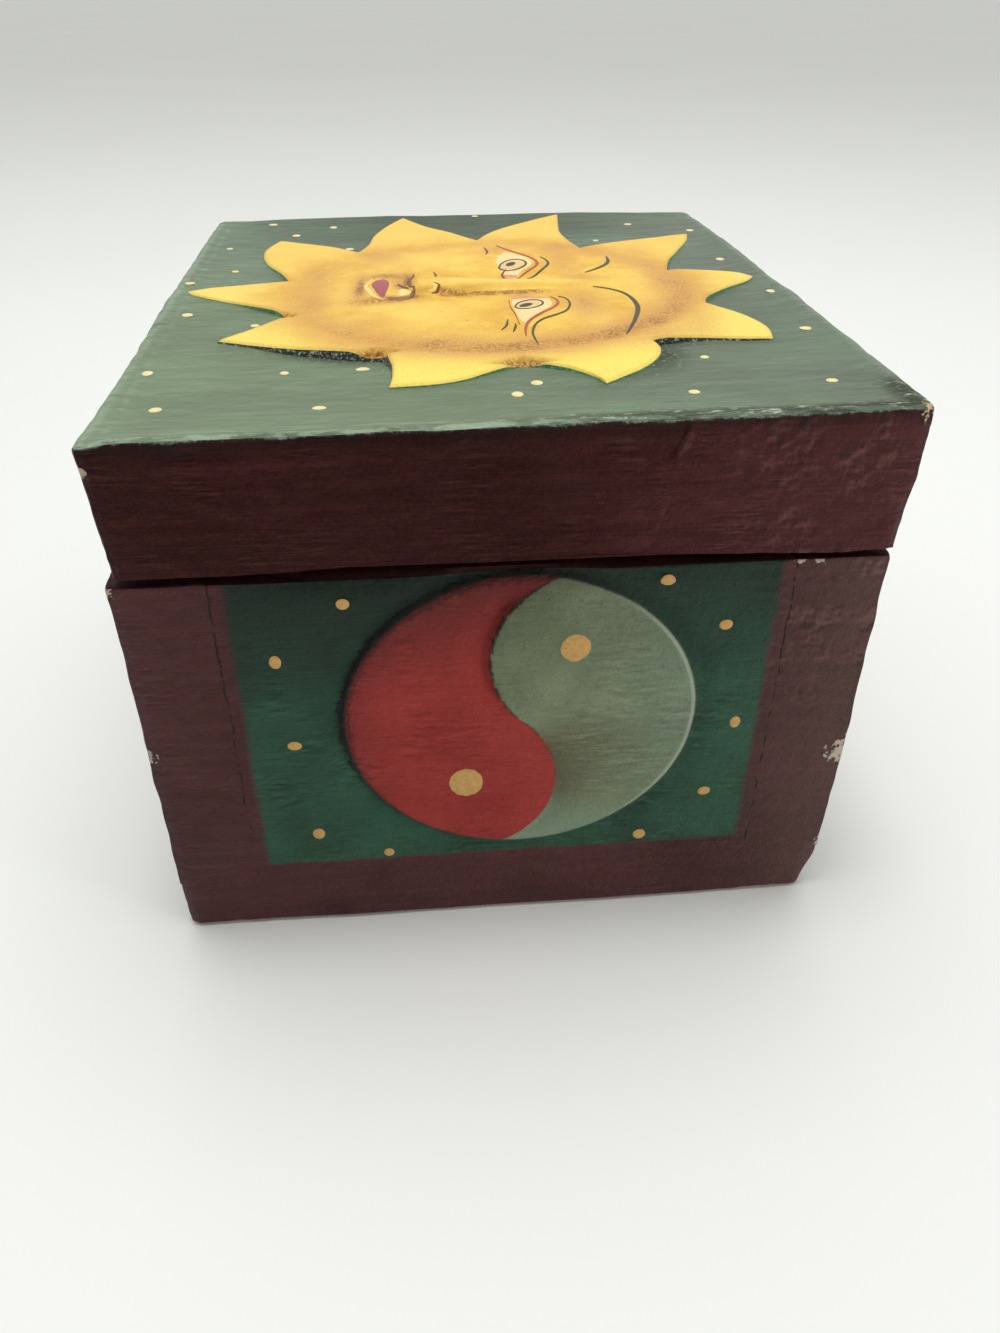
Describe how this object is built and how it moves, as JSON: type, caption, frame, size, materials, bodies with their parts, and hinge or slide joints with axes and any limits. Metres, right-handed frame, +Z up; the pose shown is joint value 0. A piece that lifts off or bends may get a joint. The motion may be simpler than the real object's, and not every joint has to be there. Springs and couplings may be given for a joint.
{
  "type": "trinket box",
  "caption": "Small carved and painted wooden box for keepsakes, with a thick hinged lid that bears a sun face in low relief and a two-tone disc carved on each side.",
  "frame": {"origin": "middle of the underside of the bottom board", "axes": "+X along the box's length towards the right end, +Y from the front to the hinged back, +Z up"},
  "size_m": [0.1564, 0.1296, 0.1029],
  "materials": {
    "painted_wood": "hand-brushed dark red and green paint, worn at the edges",
    "painted_lid": "hand-brushed green paint with a yellow sun and a dark red edge",
    "nail_steel": "dull wire",
    "hinge_brass": "aged sheet",
    "pin_steel": "plain wire",
    "screw_brass": "slotted, turned"
  },
  "bodies": {
    "box": {"bottom_board": "painted_wood", "front_board": "painted_wood", "back_board": "painted_wood", "left_end_board": "painted_wood", "right_end_board": "painted_wood", "corner_nails": "nail_steel", "bottom_nails": "nail_steel", "left_hinge_body_leaf": "hinge_brass", "right_hinge_body_leaf": "hinge_brass", "left_hinge_pin": "pin_steel", "right_hinge_pin": "pin_steel", "body_hinge_screws": "screw_brass"},
    "lid": {"lid_board": "painted_lid", "left_hinge_lid_leaf": "hinge_brass", "right_hinge_lid_leaf": "hinge_brass", "lid_hinge_screws": "screw_brass"}
  },
  "joints": [
    {"name": "lid_hinge", "type": "hinge", "parent": "box", "child": "lid", "pos_m": [0, 0.0651, 0.07755], "axis": [-1, 0, 0], "range_deg": [0, 180]}
  ]
}
